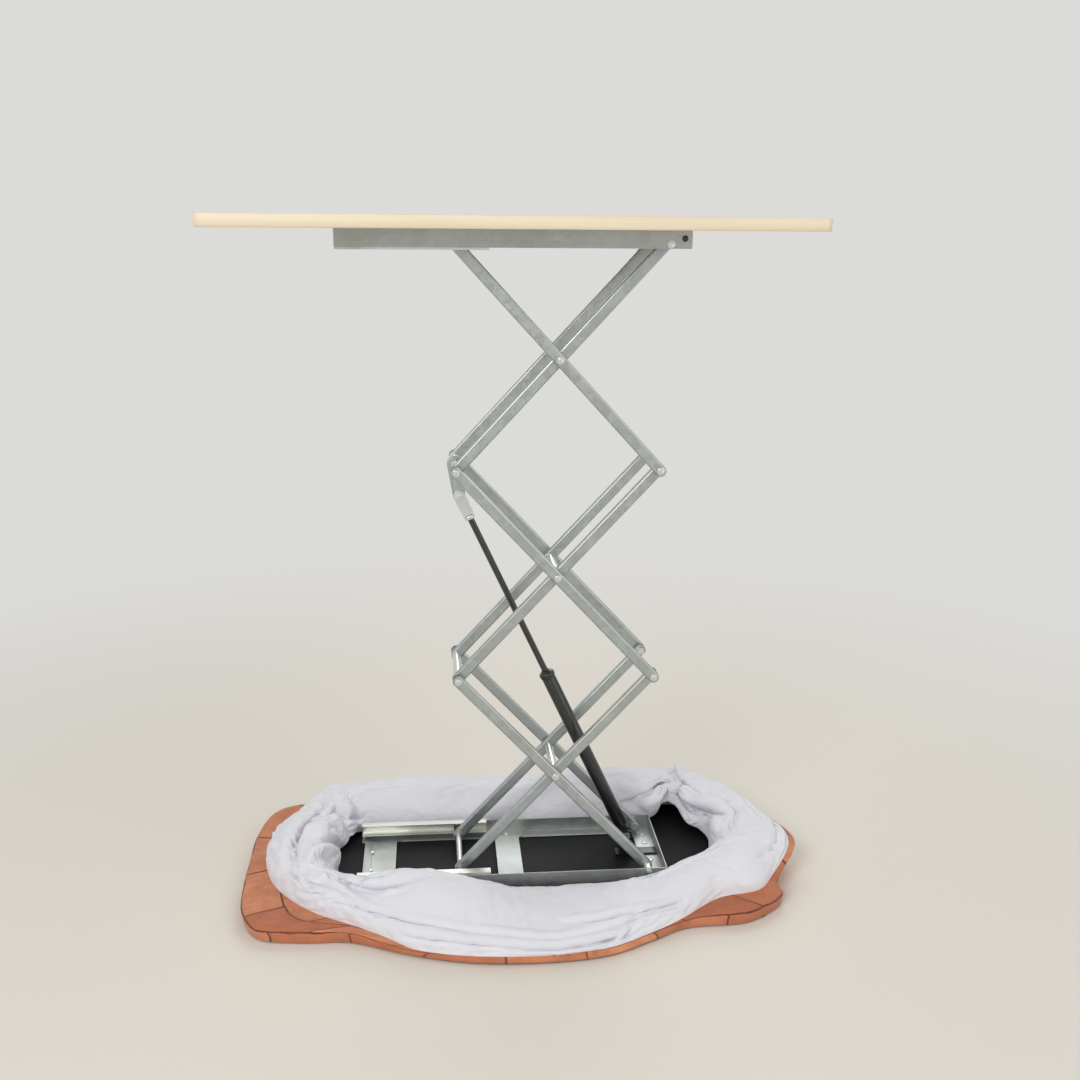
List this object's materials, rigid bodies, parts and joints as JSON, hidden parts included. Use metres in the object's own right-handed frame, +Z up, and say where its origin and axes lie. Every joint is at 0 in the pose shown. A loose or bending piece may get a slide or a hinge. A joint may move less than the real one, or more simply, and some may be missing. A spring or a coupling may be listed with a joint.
{
  "type": "portable counter table",
  "caption": "Pop-up counter table: a board on a three-stage scissor frame lifted by a gas strut, on a base board with its cloth cover let down in a ring.",
  "frame": {"origin": "middle of the underside of the base board, on the floor", "axes": "+Z up, +X along the counter towards the fixed pivots, +Y from the front to the rear"},
  "size_m": [0.8085, 0.4343, 0.9475],
  "materials": {
    "wood_top": "satin",
    "black_board": "matte",
    "galvanised": "satin",
    "zinc": "satin",
    "black_paint": "gloss",
    "nylon": "matte",
    "cloth": "matte"
  },
  "bodies": {
    "base": {"base_board": "black_board", "base_front_rail": "galvanised", "base_rear_rail": "galvanised", "base_front_slide": "galvanised", "base_rear_slide": "galvanised", "base_left_plate": "galvanised", "base_middle_plate": "galvanised", "base_right_plate": "galvanised", "base_pivot_pin_front": "zinc", "base_pivot_pin_rear": "zinc", "strut_bracket": "black_paint", "strut_lower_pin": "zinc", "fabric_cover": "cloth"},
    "low_outer": {"low_outer_arm_front": "galvanised", "low_outer_arm_rear": "galvanised", "lower_centre_shaft": "zinc", "lower_left_shaft": "zinc"},
    "low_inner": {"low_inner_arm_front": "galvanised", "low_inner_arm_rear": "galvanised", "lower_right_rivet_front": "zinc", "lower_right_rivet_rear": "zinc", "lower_roller_axle": "zinc"},
    "mid_outer": {"mid_outer_arm_front": "galvanised", "mid_outer_arm_rear": "galvanised", "middle_centre_shaft": "zinc", "upper_left_shaft": "zinc", "strut_lug": "zinc"},
    "mid_inner": {"mid_inner_arm_front": "galvanised", "mid_inner_arm_rear": "galvanised", "upper_right_rivet_front": "zinc", "upper_right_rivet_rear": "zinc"},
    "high_outer": {"high_outer_arm_front": "galvanised", "high_outer_arm_rear": "galvanised", "upper_centre_shaft": "zinc", "upper_roller_axle": "zinc"},
    "high_inner": {"high_inner_arm_front": "galvanised", "high_inner_arm_rear": "galvanised"},
    "top": {"table_top": "wood_top", "top_front_rail": "galvanised", "top_rear_rail": "galvanised", "top_front_slide": "galvanised", "top_rear_slide": "galvanised", "top_left_plate": "galvanised", "top_middle_plate": "galvanised", "top_right_plate": "galvanised", "top_pivot_pin_front": "zinc", "top_pivot_pin_rear": "zinc"},
    "lower_rollers": {"lower_roller_front": "nylon", "lower_roller_rear": "nylon"},
    "upper_rollers": {"upper_roller_front": "nylon", "upper_roller_rear": "nylon"},
    "strut_cylinder": {"strut_cylinder": "black_paint"},
    "strut_rod": {"strut_rod": "black_paint", "strut_clevis": "zinc"}
  },
  "joints": [
    {"name": "lift_fold", "type": "hinge", "parent": "base", "child": "low_outer", "pos_m": [0.196, 0, 0.0335], "axis": [0, -1, 0], "range_deg": [0, 40.2], "stiffness_Nm_per_rad": 25, "springref_deg": -126.05},
    {"name": "low_scissor", "type": "hinge", "parent": "low_outer", "child": "low_inner", "pos_m": [0.06011, 0, 0.18025], "axis": [0, -1, 0], "range_deg": [-80.5, 0]},
    {"name": "mid_node", "type": "hinge", "parent": "low_inner", "child": "mid_outer", "pos_m": [0.196, 0, 0.32699], "axis": [0, -1, 0], "range_deg": [0, 80.5]},
    {"name": "mid_scissor", "type": "hinge", "parent": "mid_outer", "child": "mid_inner", "pos_m": [0.06011, 0, 0.47374], "axis": [0, -1, 0], "range_deg": [-80.5, 0]},
    {"name": "high_node", "type": "hinge", "parent": "mid_inner", "child": "high_outer", "pos_m": [0.196, 0, 0.62048], "axis": [0, -1, 0], "range_deg": [0, 80.5]},
    {"name": "high_scissor", "type": "hinge", "parent": "high_outer", "child": "high_inner", "pos_m": [0.06011, 0, 0.76723], "axis": [0, -1, 0], "range_deg": [-80.5, 0]},
    {"name": "top_level", "type": "hinge", "parent": "high_inner", "child": "top", "pos_m": [0.196, 0, 0.91398], "axis": [0, -1, 0], "range_deg": [0, 40.3]},
    {"name": "strut_swing", "type": "hinge", "parent": "base", "child": "strut_cylinder", "pos_m": [0.1735, 0, 0.0518], "axis": [0, -1, 0], "range_deg": [0, 57.06]},
    {"name": "strut_stroke", "type": "slide", "parent": "strut_cylinder", "child": "strut_rod", "axis": [0.4226, 0, -0.9063], "range_m": [0, 0.23338]},
    {"name": "lower_rollers_spin", "type": "hinge", "parent": "low_inner", "child": "lower_rollers", "pos_m": [-0.07578, 0, 0.0335], "axis": [0, -1, 0], "continuous": true},
    {"name": "upper_rollers_spin", "type": "hinge", "parent": "high_outer", "child": "upper_rollers", "pos_m": [-0.07578, 0, 0.91398], "axis": [0, -1, 0], "continuous": true}
  ],
  "couplings": [
    {"joint": "low_scissor", "follows": "lift_fold", "ratio": -2},
    {"joint": "mid_node", "follows": "lift_fold", "ratio": 2},
    {"joint": "mid_scissor", "follows": "lift_fold", "ratio": -2},
    {"joint": "high_node", "follows": "lift_fold", "ratio": 2},
    {"joint": "high_scissor", "follows": "lift_fold", "ratio": -2},
    {"joint": "top_level", "follows": "lift_fold", "ratio": 1},
    {"joint": "strut_swing", "follows": "lift_fold", "ratio": 1.417},
    {"joint": "strut_stroke", "follows": "lift_fold", "m_per_rad": 0.33192}
  ]
}
